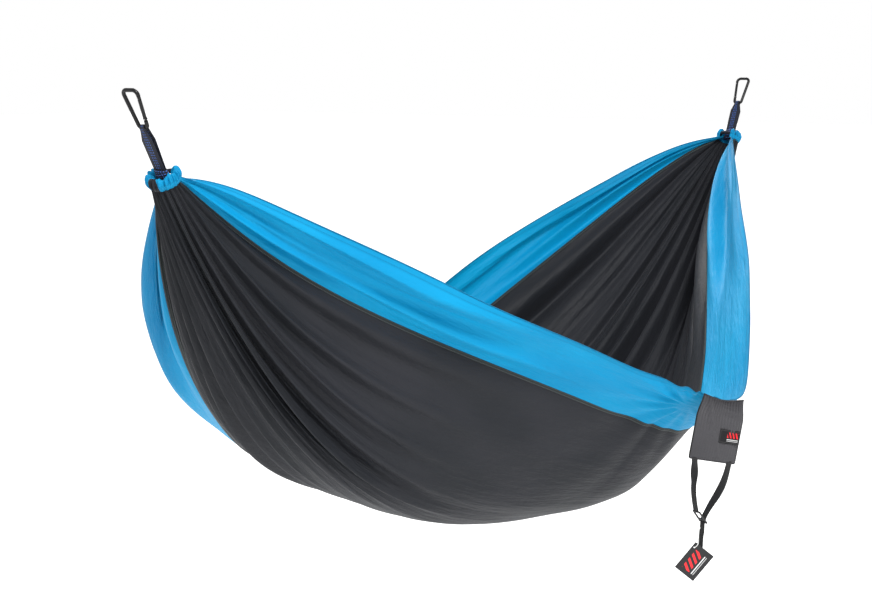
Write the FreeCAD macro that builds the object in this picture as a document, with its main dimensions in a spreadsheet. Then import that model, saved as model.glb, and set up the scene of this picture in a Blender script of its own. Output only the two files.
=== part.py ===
import FreeCAD, Part
import math
import os
from FreeCAD import Base

# Camping hammock: three sewn nylon panels gathered at both ends on webbing slings,
# a snap carabiner on each sling, and a stuff sack with its strap on the near rim.
# Millimetres. Origin: the seat of the left carabiner on its anchor.
# +X runs to the right anchor, +Z is up, the near rim with the sack is on -Y.

Vec = Base.Vector
doc = FreeCAD.newDocument("camping_hammock")

# ---------------------------------------------------------------- driving dimensions
DIMENSIONS = {
    # hang
    "gather_span": 2100,
    "sling_angle": 63,
    "anchor_reach": 165,
    "gather_radius": 24,
    # cloth lines at mid length, measured from the gathers' level
    "near_rim_out": 561,
    "near_rim_drop": 477,
    "near_strip_in": 110,
    "near_strip_drop": 84,
    "far_rim_out": 583,
    "far_rim_drop": 634,
    "far_mid_out": 37,
    "far_strip_in": 28,
    "far_strip_drop": 135,
    "belly_drop": 782,
    "belly_shift": 36,
    "far_strip_bow": 37,
    "cloth_mid": 3,
    "cloth_end": 6,
    "seam_gap": 1.6,
    # sewn end channel
    "channel_tube": 8,
    "channel_bore": 7,
    # sling webbing
    "webbing_width": 25,
    "webbing_thick": 2,
    "sling_ring_tube": 6.4,
    "spoke_tube": 5,
    # carabiner
    "carabiner_length": 78,
    "carabiner_width": 42,
    "carabiner_stock": 7,
    "carabiner_foot": 19,
    "gate_tube": 6.4,
    "gate_heel": 5,
    "rivet_size": 2.4,
    "latch_pin_size": 1.6,
    "tang_thick": 2.4,
    "gate_slot": 3,
    "gate_bore": 4,
    "spring_wire": 0.4,
    "spring_radius": 1.4,
    "spring_length": 12,
    "spring_pitch": 2,
    "plunger_size": 3.2,
    "plunger_length": 4,
    # stuff sack
    "sack_width": 126,
    "sack_height": 130,
    "sack_thick": 14,
    "sack_wall": 1.6,
    "sack_corner": 4,
    "elastic_height": 7,
    "elastic_thick": 1.2,
    "label_width": 58,
    "label_height": 30,
    "label_thick": 0.7,
    # strap, slider and tag
    "strap_width": 15,
    "strap_thick": 1.4,
    "slider_length": 33,
    "slider_bar": 2.6,
    "slider_rail": 2.5,
    "slider_thick": 3,
    "slider_slot_room": 1,
    "slider_loop_share": 0.58,
    "slider_lock_slot": 6,
    "tag_width": 47,
    "tag_height": 65,
    "tag_leaf": 0.5,
    "tag_spread": 1.6,
    "tag_line": 1.2,
    "tag_bead": 4,
}
sheet = doc.addObject("Spreadsheet::Sheet", "Dimensions")
for row, (alias, value) in enumerate(DIMENSIONS.items(), start=1):
    sheet.set("A%d" % row, alias)
    sheet.set("B%d" % row, str(value))
    sheet.setAlias("B%d" % row, alias)
doc.recompute()


def size(alias):
    return float(sheet.get(alias))


def cell(expression):
    """Turn dimension names in braces into references to the sheet."""
    return expression.replace("{", "Dimensions.").replace("}", "")


def bind(obj, **expressions):
    for name, expression in expressions.items():
        obj.setExpression(name, cell(expression))
    return obj


parts_made = []


def keep(obj, label, placement=None):
    """Name a finished sub-part, place it and put it on the list to export."""
    if placement is not None:
        obj.Placement = placement
    obj.Label = label
    parts_made.append(obj)
    return obj


def primitive(kind, name, placement=None, **expressions):
    obj = doc.addObject(kind, name)
    bind(obj, **expressions)
    if placement is not None:
        obj.Placement = placement
    return obj


def cylinder(name, base, axis, radius, length):
    turn = Base.Rotation(Vec(0, 0, 1), axis)
    return primitive("Part::Cylinder", name, Base.Placement(base, turn), Radius=radius, Height=length)


def box(name, corner, length, width, height):
    return primitive("Part::Box", name, Base.Placement(corner, Base.Rotation()),
                     Length=length, Width=width, Height=height)


def cut(name, base, tool):
    obj = doc.addObject("Part::Cut", name)
    obj.Base = base
    obj.Tool = tool
    return obj


def fuse(name, pieces):
    obj = doc.addObject("Part::MultiFuse", name)
    obj.Shapes = pieces
    return obj


def made_shape(name, shape):
    obj = doc.addObject("Part::Feature", name)
    obj.Shape = shape
    return obj


# ---------------------------------------------------------------- frame of the hang
SLING = math.radians(size("sling_angle"))
GATHER = size("gather_radius")
HALF_SPAN = size("gather_span") / 2
RING_X = size("anchor_reach") * math.cos(SLING)
RING_Z = -size("anchor_reach") * math.sin(SLING)
MID_X = RING_X + HALF_SPAN
LEFT, RIGHT = -1, 1


def sling_axis(side):
    """Unit vector from a gather up along its sling."""
    return Vec(side * math.cos(SLING), 0, math.sin(SLING))


def ring_centre(side):
    return Vec(MID_X + side * HALF_SPAN, 0, RING_Z)


def sling_turn(side):
    """Local +Z along the sling, local Y across it; the right one is turned half round."""
    lean = Base.Rotation(Vec(0, 1, 0), side * (90 - size("sling_angle")))
    spin = Base.Rotation(Vec(0, 0, 1), 0 if side == LEFT else 180)
    return lean.multiply(spin)


# ---------------------------------------------------------------- cloth surface
SEAM_AT = 0.76          # where the seams lie across the cloth, from 0 at the belly to 1 at a rim
RIM_TURN = 150          # degrees round the gather from its lowest point to a rim
SEAM_TURN = 114
CLOTH_START = size("channel_tube") + 3.5
NEAR_ROUNDING = 0.07    # how sharply each rim turns at mid length
FAR_ROUNDING = 0.08
FAR_SPREAD_ROUNDING = 0.14
BELLY_POWER = 2.72
NEAR_POWER = 2.5        # fullness of the centre panel's section on the near side
MID_POWER = 2.8         # and on the far side at mid length
GATHER_LIFT = (17, 22)  # the near and far edges rise this much on their way to a gather

# The two halves fall a little differently. near_swell: outward and downward swell of the near
# rim's flank. near_strip, far_strip: how long the strips keep their width, in and down.
# far_flare, far_fall: how the far rim runs out and down. far_tuck: the far seam drawn inwards.
FALL = {
    LEFT: {"near_swell": (20, 8), "near_strip": (6.2, 7.6), "far_flare": 2.3, "far_fall": 1.85,
           "far_strip": (1.6, 0.63), "far_tuck": 53, "far_power": 1.88},
    RIGHT: {"near_swell": (20, -44), "near_strip": (5.3, 6.7), "far_flare": 2.44, "far_fall": 1.05,
            "far_strip": (3.05, 3.4), "far_tuck": 0, "far_power": 3.82},
}


def lerp(a, b, share):
    return a + (b - a) * share


def vee(along, rounding):
    """0 at mid length, 1 at the ends: straight flanks meeting in a rounded point."""
    return (math.hypot(along, rounding) - rounding) / (math.hypot(1, rounding) - rounding)


def ease(low, high, value):
    t = min(max((value - low) / (high - low), 0), 1)
    return t * t * (3 - 2 * t)


def bulge(along):
    """Fullest a quarter to halfway out, with no kink at mid length."""
    return 4 * along * (1 - along) * ease(0, 0.25, along)


def near_rim(along, side):
    fall = vee(along, NEAR_ROUNDING)
    out, down = FALL[side]["near_swell"]
    return (-size("near_rim_out") * (1 - fall) - out * bulge(along),
            -size("near_rim_drop") * (1 - fall) - down * bulge(along))


def near_seam(along, side):
    y, z = near_rim(along, side)
    inward, down = FALL[side]["near_strip"]
    return (y + size("near_strip_in") * (1 - along ** inward),
            z - size("near_strip_drop") * (1 - along ** down))


def far_rim(along, side):
    fall = vee(along, FAR_ROUNDING) ** FALL[side]["far_fall"]
    middle = max(1 - (along / 0.5) ** 2, 0) ** 2
    y = size("far_rim_out") * (1 - along ** FALL[side]["far_flare"]) + size("far_mid_out") * middle
    return y, -size("far_rim_drop") * (1 - fall)


def far_seam(along, side):
    y, z = far_rim(along, side)
    spread = vee(along, FAR_SPREAD_ROUNDING)
    inward, down = FALL[side]["far_strip"]
    y -= size("far_strip_in") * (1 - spread ** inward) + FALL[side]["far_tuck"] * bulge(along)
    return y, z - size("far_strip_drop") * (1 - spread ** down)


def belly(along):
    rise = 1 - along ** BELLY_POWER
    return -size("belly_shift") * rise, -size("belly_drop") * rise


def cloth_point(u, across):
    """A point of the cloth: u from -1 at the left gather to 1, across from -1 at the near rim to 1."""
    along = abs(u)
    side = LEFT if u < 0 else RIGHT
    near = across < 0
    rim, seam = (near_rim, near_seam) if near else (far_rim, far_seam)
    rim_y, rim_z = rim(along, side)
    seam_y, seam_z = seam(along, side)
    belly_y, belly_z = belly(along)
    power = NEAR_POWER if near else lerp(MID_POWER, FALL[side]["far_power"], ease(0, 0.45, along))
    strip = max(abs(across) - SEAM_AT, 0) / (1 - SEAM_AT)
    panel = min(abs(across) / SEAM_AT, 1)
    y = lerp(belly_y, seam_y, panel) + strip * (rim_y - seam_y)
    z = lerp(belly_z, seam_z, panel ** power) + strip * (rim_z - seam_z)
    z += GATHER_LIFT[0 if near else 1] * math.sin(math.pi * along ** 6) * panel ** 2
    if not near:
        y += size("far_strip_bow") * math.sin(math.pi * strip) * min(1, 1.3 * bulge(along))
    # the flanks close in on an arc of the ring that the sling holds
    turn = math.radians(SEAM_TURN * panel + (RIM_TURN - SEAM_TURN) * strip) * (-1 if near else 1)
    rim_hold = vee(along, NEAR_ROUNDING if near else FAR_ROUNDING)
    hold = lerp(along ** BELLY_POWER, rim_hold, panel ** 2)
    start = CLOTH_START * along ** 14
    ring_rise = -hold * GATHER * math.cos(turn)
    x = HALF_SPAN * u - side * (ring_rise * math.sin(SLING) + start * math.cos(SLING))
    z += ring_rise * math.cos(SLING) - start * math.sin(SLING)
    return Vec(MID_X + x, y + hold * GATHER * math.sin(turn), RING_Z + z)


def cloth_normal(u, across):
    step = 0.004
    along = cloth_point(min(u + step, 1), across) - cloth_point(max(u - step, -1), across)
    over = cloth_point(u, min(across + step, 1)) - cloth_point(u, max(across - step, -1))
    normal = along.cross(over)
    normal.normalize()
    return normal


def stations(count):
    """Places along the cloth, closer together towards mid length and the gathers."""
    half = [math.sin(math.pi / 2 * i / count) ** 1.35 for i in range(count + 1)]
    return [-v for v in reversed(half[1:])] + half


def spline_sheet(grid):
    surface = Part.BSplineSurface()
    surface.interpolate(grid)
    return surface


def seam_ease(along):
    """Half the gap between two panels, as a share across; a wider share where the cloth is gathered."""
    return lerp(size("seam_gap") / 1400, GATHERED_EASE, along ** 6)


def panel_solid(low, high, count):
    """A closed skin between two lines of the cloth: inner and outer faces joined by ruled edges."""
    faces = []
    skins = []
    for sign in (-1, 1):
        grid = []
        for u in ALONG:
            half = lerp(size("cloth_mid"), size("cloth_end"), abs(u) ** 6) / 2
            ease = seam_ease(abs(u))
            first = low + (ease if abs(low) == SEAM_AT else 0)
            last = high - (ease if abs(high) == SEAM_AT else 0)
            grid.append([cloth_point(u, a) + cloth_normal(u, a) * half * sign
                         for a in spread_values(first, last, count)])
        skins.append(spline_sheet(grid))
        faces.append(skins[-1].toShape())
    for pick in (lambda s: s.uIso(0), lambda s: s.uIso(1), lambda s: s.vIso(0), lambda s: s.vIso(1)):
        faces.append(Part.makeRuledSurface(pick(skins[0]).toShape(), pick(skins[1]).toShape()))
    shell = Part.makeShell(faces)
    shell.sewShape()
    solid = Part.makeSolid(Part.Shell(shell.Faces))
    if solid.Volume < 0:
        solid.reverse()
    return solid


def spread_values(low, high, count):
    return [lerp(low, high, i / (count - 1)) for i in range(count)]


GATHERED_EASE = 0.025
ALONG = stations(13)
PANELS = (
    ("near_side_panel", -1, -SEAM_AT, 4),
    ("centre_panel", -SEAM_AT, SEAM_AT, 17),
    ("far_side_panel", SEAM_AT, 1, 4),
)
for label, low, high, count in PANELS:
    keep(made_shape(label + "_skin", panel_solid(low, high, count)), label)


# ---------------------------------------------------------------- gathers and slings
ENTRY_ROOM = 0.6        # round the webbing where it enters the sleeve
FOOT_ROOM = 0.35        # between the webbing and the carabiner's foot
LAYER_HALF = 0.6        # half the space between the sling's two layers at the hitch
HITCH_TOP = GATHER * 0.55
HITCH_BELOW = 4
BUNCHED_HALF = 5.2      # half width of the webbing where it is bunched round the foot
SHOULDER_FALL = 20      # the webbing narrows over this height under the foot


def make_gather(side, word):
    """The sewn channel, bunched into a ring, and the webbing sling that runs through it."""
    place = Base.Placement(ring_centre(side), sling_turn(side))
    sleeve = primitive("Part::Torus", word + "_sleeve_outer", None,
                       Radius1="{gather_radius}", Radius2="{channel_tube}")
    bore = primitive("Part::Torus", word + "_sleeve_bore", None,
                     Radius1="{gather_radius}", Radius2="{channel_bore}")
    # the inside of the sleeve is open where the webbing enters
    mouth = size("spoke_tube") + ENTRY_ROOM
    entry = box(word + "_sleeve_entry", Vec(-mouth, -GATHER, -mouth), "%g" % (2 * mouth),
                "2 * {gather_radius}", "%g" % (2 * mouth))
    openings = fuse(word + "_sleeve_openings", [bore, entry])
    keep(cut(word + "_channel_cut", sleeve, openings), word + "_channel", place)

    width = size("webbing_width")
    thick = size("webbing_thick")
    bar = size("carabiner_stock") / 2 + FOOT_ROOM
    foot = size("anchor_reach") - size("carabiner_length") + size("carabiner_stock") * 1.5
    # side view of the loop: round the carabiner's foot, then both layers run down to the hitch
    outer = side_loop(foot, bar + thick, HITCH_TOP, thick + LAYER_HALF)
    inner = side_loop(foot, bar, HITCH_TOP + 6, LAYER_HALF)
    band = Part.Face(outer).cut(Part.Face(inner)).extrude(Vec(0, width, 0))
    band.translate(Vec(0, -width / 2, 0))
    # front view: full width up to the shoulders, then narrow round the foot
    half_plan = [(width / 2, HITCH_TOP - 1), (width / 2, foot - SHOULDER_FALL), (BUNCHED_HALF, foot - 3),
                 (BUNCHED_HALF, foot + 12)]
    corners = [Vec(-20, y, z) for y, z in half_plan] + [Vec(-20, -y, z) for y, z in reversed(half_plan)]
    plan = Part.makePolygon(corners + corners[:1])
    band = band.common(Part.Face(plan).extrude(Vec(40, 0, 0)))
    strap = made_shape(word + "_sling_band", band)
    knot = cylinder(word + "_sling_knot", Vec(0, 0, -HITCH_BELOW), Vec(0, 0, 1), "{gather_radius} * 0.5",
                    "{gather_radius} * 0.55 + 6")
    ring = primitive("Part::Torus", word + "_sling_ring", None,
                     Radius1="{gather_radius}", Radius2="{sling_ring_tube}")
    keep(fuse(word + "_sling_fuse", [strap, knot, ring, spoke(word, LEFT), spoke(word, RIGHT)]),
         word + "_sling", place)


def side_loop(top, radius, bottom, half):
    """Closed outline in the XZ plane: an arc over the top and straight sides tapering down."""
    lean = math.asin((radius - half) / (top - bottom))
    right = Vec(radius * math.cos(lean), 0, top)
    left = Vec(-right.x, 0, right.z)
    arc = Part.Arc(right, Vec(0, 0, top + radius), left).toShape()
    return Part.Wire([arc, Part.LineSegment(left, Vec(-half, 0, bottom)).toShape(),
                      Part.LineSegment(Vec(-half, 0, bottom), Vec(half, 0, bottom)).toShape(),
                      Part.LineSegment(Vec(half, 0, bottom), right).toShape()])


def spoke(word, way):
    """Webbing from the hitch out to the ring, across the gather."""
    name = "%s_sling_spoke_%s" % (word, "a" if way == LEFT else "b")
    return cylinder(name, Vec(0, 0, 0), Vec(0, way, 0), "{spoke_tube}", "{gather_radius}")


# ---------------------------------------------------------------- carabiners
def rounded_wire(points, radii):
    """A wire through the points with tangent arcs of the given radii at the inner ones."""
    edges = []
    start = points[0]
    for i in range(1, len(points) - 1):
        corner = points[i]
        back = points[i - 1] - corner
        on = points[i + 1] - corner
        back.normalize()
        on.normalize()
        half = back.getAngle(on) / 2
        reach = radii[i - 1] / math.tan(half)
        first = corner + back * reach
        last = corner + on * reach
        middle = back + on
        middle.normalize()
        top = corner + middle * (radii[i - 1] / math.sin(half) - radii[i - 1])
        edges.append(Part.LineSegment(start, first).toShape())
        edges.append(Part.Arc(first, top, last).toShape())
        start = last
    edges.append(Part.LineSegment(start, points[-1]).toShape())
    return Part.Wire(edges)


STOCK = size("carabiner_stock")
CROWN_Z = size("carabiner_length") - STOCK
CROWN_Y = (size("carabiner_width") - STOCK) / 2
FOOT_Y = size("carabiner_foot") / 2
GATE_LINE = Vec(0, FOOT_Y - CROWN_Y, CROWN_Z)
GATE_LINE.normalize()
GATE_SIDE = Vec(0, GATE_LINE.z, -GATE_LINE.y)


def on_gate(height):
    """A point of the gate's centre line, at a height above the foot."""
    return Vec(0, -FOOT_Y, 0) + GATE_LINE * (height / GATE_LINE.z)


PIVOT_AT = on_gate(17)
LATCH_AT = on_gate(56)
GATE_NOSE = 3.2         # the gate's length past its latch pin
GATE_LENGTH = (LATCH_AT - PIVOT_AT).Length + GATE_NOSE
SHOULDER_GAP = 4.2      # from each pin's centre to the end of the bent bar
FOOT_BEND = 6
CROWN_BEND = 9
TANG_WIDTH = 4.8
PIN_ROOM = 0.3          # between the latch pin and its notch
SLOT_BACK = 3.6         # depth of the gate's slots past each pin


def gate_frame(origin):
    """Local Z along the gate, local Y inwards, local X across the flat of the carabiner."""
    return Base.Placement(origin, Base.Rotation(Vec(1, 0, 0), GATE_SIDE, GATE_LINE, "ZXY"))


def make_carabiner(side, word):
    foot = ring_centre(side) + sling_axis(side) * (size("anchor_reach") - CROWN_Z + STOCK / 2)
    place = Base.Placement(foot, sling_turn(side))
    shoulder_low = PIVOT_AT - GATE_LINE * SHOULDER_GAP
    shoulder_high = LATCH_AT + GATE_LINE * SHOULDER_GAP
    path = rounded_wire(
        [shoulder_low, Vec(0, -FOOT_Y, 0), Vec(0, FOOT_Y, 0), Vec(0, CROWN_Y, CROWN_Z),
         Vec(0, -CROWN_Y, CROWN_Z), shoulder_high], [FOOT_BEND, FOOT_BEND, CROWN_BEND, CROWN_BEND])
    spine = made_shape(word + "_frame_path", path)
    section = primitive("Part::Circle", word + "_frame_section",
                        Base.Placement(shoulder_low, Base.Rotation(Vec(0, 0, 1), GATE_LINE)),
                        Radius="{carabiner_stock} / 2")
    bar = doc.addObject("Part::Sweep", word + "_frame_bar")
    bar.Sections = [section]
    bar.Spine = (spine, ["Edge%d" % (i + 1) for i in range(len(path.Edges))])
    bar.Solid = True

    def tang(name, origin, low, length):
        frame = gate_frame(origin)
        corner = frame.multVec(Vec(-size("tang_thick") / 2, -TANG_WIDTH / 2, low))
        return primitive("Part::Box", word + name, Base.Placement(corner, frame.Rotation),
                         Length="{tang_thick}", Width="%g" % TANG_WIDTH, Height="%g" % length)

    def across(name, centre, radius, length):
        return cylinder(word + name, centre - Vec(size(length) / 2, 0, 0), Vec(1, 0, 0), radius,
                        "{%s}" % length)

    low_tang = tang("_low_tang", PIVOT_AT, -SHOULDER_GAP - 0.2, SHOULDER_GAP + 0.2)
    knuckle = across("_knuckle", PIVOT_AT, "{gate_tube} / 2 - 0.7", "tang_thick")
    high_tang = tang("_high_tang", LATCH_AT, -2.2, SHOULDER_GAP + 2.6)
    rivet_hole = across("_rivet_hole", PIVOT_AT, "{rivet_size} / 2", "carabiner_stock")
    latch_room = across("_latch_room", LATCH_AT, "{latch_pin_size} / 2 + %g" % PIN_ROOM, "carabiner_stock")
    way = gate_frame(LATCH_AT)
    gap = size("latch_pin_size") / 2 + PIN_ROOM
    latch_way = primitive("Part::Box", word + "_latch_way",
                          Base.Placement(way.multVec(Vec(-STOCK / 2, 0, -gap - 1.6)), way.Rotation),
                          Length="{carabiner_stock}", Width="6",
                          Height="{latch_pin_size} + 2.2")
    solid = fuse(word + "_frame_solid", [bar, low_tang, knuckle, high_tang])
    openings = fuse(word + "_frame_cuts", [rivet_hole, latch_room, latch_way])
    keep(cut(word + "_frame", solid, openings), word + "_carabiner_frame", place)

    frame = gate_frame(PIVOT_AT)
    tube = cylinder(word + "_gate_tube", PIVOT_AT, GATE_LINE, "{gate_tube} / 2", "%g" % GATE_LENGTH)
    heel = across("_gate_heel", PIVOT_AT, "{gate_tube} / 2 - 0.2", "gate_heel")
    slot_low = primitive("Part::Box", word + "_gate_slot_low",
                         Base.Placement(frame.multVec(Vec(-size("gate_slot") / 2, -5, -5)), frame.Rotation),
                         Length="{gate_slot}", Width="10", Height="5 + %g" % SLOT_BACK)
    slot_high = primitive("Part::Box", word + "_gate_slot_high",
                          Base.Placement(way.multVec(Vec(-size("gate_slot") / 2, -5, -SLOT_BACK)),
                                         way.Rotation),
                          Length="{gate_slot}", Width="10", Height="10")
    bore_start = 3
    bore = cylinder(word + "_gate_bore", PIVOT_AT + GATE_LINE * bore_start, GATE_LINE, "{gate_bore} / 2",
                    "{spring_length} + {plunger_length} + 1")
    rivet_room = across("_gate_rivet_room", PIVOT_AT, "{rivet_size} / 2 + 0.05", "carabiner_stock")
    pin_room = across("_gate_pin_room", LATCH_AT, "{latch_pin_size} / 2", "carabiner_stock")
    gate_solid = fuse(word + "_gate_solid", [tube, heel])
    gate_cuts = fuse(word + "_gate_cuts", [slot_low, slot_high, bore, rivet_room, pin_room])
    keep(cut(word + "_gate_cut", gate_solid, gate_cuts), word + "_gate", place)

    rivet = across("_rivet_body", PIVOT_AT, "{rivet_size} / 2", "carabiner_stock")
    keep(rivet, word + "_gate_rivet", place.multiply(rivet.Placement))
    pin = across("_pin_body", LATCH_AT, "{latch_pin_size} / 2", "gate_tube")
    keep(pin, word + "_latch_pin", place.multiply(pin.Placement))
    nose = cylinder(word + "_plunger_body", PIVOT_AT + GATE_LINE * (bore_start + 0.1), GATE_LINE,
                    "{plunger_size} / 2", "{plunger_length}")
    keep(nose, word + "_gate_plunger", place.multiply(nose.Placement))

    coil_at = PIVOT_AT + GATE_LINE * (bore_start + 0.4 + size("plunger_length"))
    helix = Part.makeHelix(size("spring_pitch"), size("spring_length") - 1, size("spring_radius"))
    wire = primitive("Part::Circle", word + "_spring_section",
                     Base.Placement(Vec(size("spring_radius"), 0, 0), Base.Rotation(Vec(1, 0, 0), 90)),
                     Radius="{spring_wire} / 2")
    coil = doc.addObject("Part::Sweep", word + "_spring_coil")
    coil.Sections = [wire]
    coil.Spine = (made_shape(word + "_spring_path", helix), ["Edge1"])
    coil.Solid = True
    coil.Frenet = True
    keep(coil, word + "_gate_spring",
         place.multiply(Base.Placement(coil_at, Base.Rotation(Vec(0, 0, 1), GATE_LINE))))


for side, word in ((LEFT, "left"), (RIGHT, "right")):
    make_gather(side, word)
    make_carabiner(side, word)

# ---------------------------------------------------------------- stuff sack
SACK_HEADING = -20      # turned towards the near side, along the rim
SACK_TILT = 13          # hangs lower on its right
SACK_TOP = Vec(MID_X - 60, -567, RING_Z - 469)
HANG = Base.Placement(SACK_TOP, Base.Rotation(Vec(0, 0, 1), SACK_HEADING))
SACK = HANG.multiply(Base.Placement(Vec(), Base.Rotation(Vec(0, 1, 0), SACK_TILT)))
ELASTIC_BELOW = 3       # the mouth elastic sits this far under the mouth
ELASTIC_ROOM = 0.3
LABEL_CORNER = (-1, -92)


def make_sack():
    width = "{sack_width}"
    outer = box("sack_outer", Vec(-size("sack_width") / 2, -size("sack_thick") / 2, -size("sack_height")),
                width, "{sack_thick}", "{sack_height}")
    rounded = doc.addObject("Part::Fillet", "sack_rounded")
    rounded.Base = outer
    doc.recompute()
    edges = [i + 1 for i, edge in enumerate(outer.Shape.Edges)
             if edge.BoundBox.ZMin < -1 and edge.BoundBox.XLength < size("sack_width") - 1]
    rounded.Edges = [(i, size("sack_corner"), size("sack_corner")) for i in edges]
    wall = size("sack_wall")
    hollow = box("sack_hollow", Vec(-size("sack_width") / 2 + wall, -size("sack_thick") / 2 + wall,
                                    -size("sack_height") + wall),
                 "{sack_width} - 2 * {sack_wall}", "{sack_thick} - 2 * {sack_wall}", "{sack_height}")
    keep(cut("sack_cut", rounded, hollow), "sack_body", SACK)

    inset = wall + ELASTIC_ROOM
    band = box("elastic_outer", Vec(-size("sack_width") / 2 + inset, -size("sack_thick") / 2 + inset,
                                    -size("elastic_height") - ELASTIC_BELOW),
               "{sack_width} - %g" % (2 * inset), "{sack_thick} - %g" % (2 * inset), "{elastic_height}")
    inset += size("elastic_thick")
    gap = box("elastic_inner", Vec(-size("sack_width") / 2 + inset, -size("sack_thick") / 2 + inset,
                                   -size("elastic_height") - ELASTIC_BELOW - 1),
              "{sack_width} - %g" % (2 * inset), "{sack_thick} - %g" % (2 * inset),
              "{elastic_height} + 2")
    keep(cut("elastic_cut", band, gap), "mouth_elastic", SACK)

    front = -size("sack_thick") / 2 - size("label_thick")
    patch = box("label_patch", Vec(LABEL_CORNER[0], front, LABEL_CORNER[1]),
                "{label_width}", "{label_thick}", "{label_height}")
    keep(patch, "sack_label", SACK.multiply(patch.Placement))


make_sack()

# ---------------------------------------------------------------- strap, slider and tag
# Routes in the hanging plane of the sack: across along its heading, and up.
LEFT_STRAP_ROUTE = [(-75.2, -119.3), (-75, -151.5), (-78, -188.5), (-69, -223.4)]
RIGHT_STRAP_ROUTE = [(16.4, -138.6), (9, -165), (-9, -194), (-33, -219), (-52.5, -245), (-52, -263),
                     (-55.5, -281), (-56, -299)]
SLIDER_AT = Vec(-62.5, 0, -231.5)
SLIDER_LEAN = 51.7      # degrees below horizontal, in the same plane
SLIDER_BACK = 9.3       # from the slider's end to where the loop's sewn end sits
FASTENER_ROUTE = [Vec(-57.5, 0, -246), Vec(-60, -0.8, -259.5),
                  Vec(-64.3, -3.6, -273.5), Vec(-66.8, -6.2, -287.4)]
TAG_HOLE = Vec(-73, -2, -297)
TAG_HEADING = -33.8     # from the sack's own heading
TAG_LEAN = 38.7         # its short edge below horizontal
TAG_HOLE_IN = (5, 9.5)  # hole from the long edge and from the short edge
TAG_RING = 6
TAG_EYELET = 2


def run_radii(points):
    """One arc radius per inner point: 0.45 of the shorter run beside it."""
    radii = []
    for i in range(1, len(points) - 1):
        back = points[i - 1] - points[i]
        on = points[i + 1] - points[i]
        half_turn = (math.pi - back.getAngle(on)) / 2
        radii.append(0.45 * min(back.Length, on.Length) / math.tan(half_turn))
    return radii


def report_run(label, path, radii, solid, section):
    print("%s length %.0f mm, arc radii %s mm, volume over section times length %.3f"
          % (label, path.Length, [round(r) for r in radii], solid.Volume / (path.Length * section)))


def twisted_section(path_edges, at, turn):
    """The webbing's outline at a distance along the path; a turn of 0 puts it square to the front."""
    for edge in path_edges:
        if at <= edge.Length + 1e-6:
            break
        at -= edge.Length
    place = edge.getParameterByLength(min(at, edge.Length))
    centre = edge.valueAt(place)
    along = edge.tangentAt(place)
    in_plane = Vec(along.z, 0, -along.x)
    broad = Vec(0, 1, 0) * math.cos(turn) + in_plane * math.sin(turn)
    flat = broad.cross(along)
    half_w = size("strap_width") / 2
    half_t = size("strap_thick") / 2
    corners = [centre + broad * a + flat * b
               for a, b in ((-half_w, -half_t), (half_w, -half_t), (half_w, half_t), (-half_w, half_t))]
    return Part.makePolygon(corners + [corners[0]])


def make_strap(label, route, twist_length):
    """Flat webbing along runs and tangent arcs: flat in the hem, turned square at the slider."""
    points = [Vec(x, 0, z) for x, z in route]
    radii = run_radii(points)
    path = rounded_wire(points, radii)
    steps = round(path.Length / 6)
    sections = []
    for i in range(steps + 1):
        at = path.Length * i / steps
        share = min(at / twist_length, 1)
        turn = math.pi / 2 * (1 - share * share * (3 - 2 * share))
        sections.append(twisted_section(path.OrderedEdges, at, turn))
    solid = Part.makeLoft(sections, True, False)
    report_run(label, path, radii, solid, size("strap_width") * size("strap_thick"))
    keep(made_shape(label + "_loft", solid), label, HANG)


def make_slider():
    """A ladder slider: a long slot for the sewn loop and a short one that locks the free strap."""
    slot = "{strap_width} + {slider_slot_room}"
    half = (size("strap_width") + size("slider_slot_room")) / 2
    bar = size("slider_bar")
    thick = size("slider_thick")
    low = -SLIDER_BACK
    lock = low + size("slider_length") - bar - size("slider_lock_slot")
    body = box("slider_outer", Vec(low, -half - size("slider_rail"), -thick / 2), "{slider_length}",
               slot + " + 2 * {slider_rail}", "{slider_thick}")
    loop_slot = box("slider_loop_slot", Vec(low + bar, -half, -thick),
                    "{slider_length} * {slider_loop_share}", slot, "2 * {slider_thick}")
    lock_slot = box("slider_lock_slot_cut", Vec(lock, -half, -thick), "{slider_lock_slot}",
                    slot, "2 * {slider_thick}")
    turn = Base.Rotation(Vec(0, 1, 0), SLIDER_LEAN)
    keep(cut("slider_cut", body, fuse("slider_slots", [loop_slot, lock_slot])), "strap_slider",
         HANG.multiply(Base.Placement(SLIDER_AT, turn)))


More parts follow.
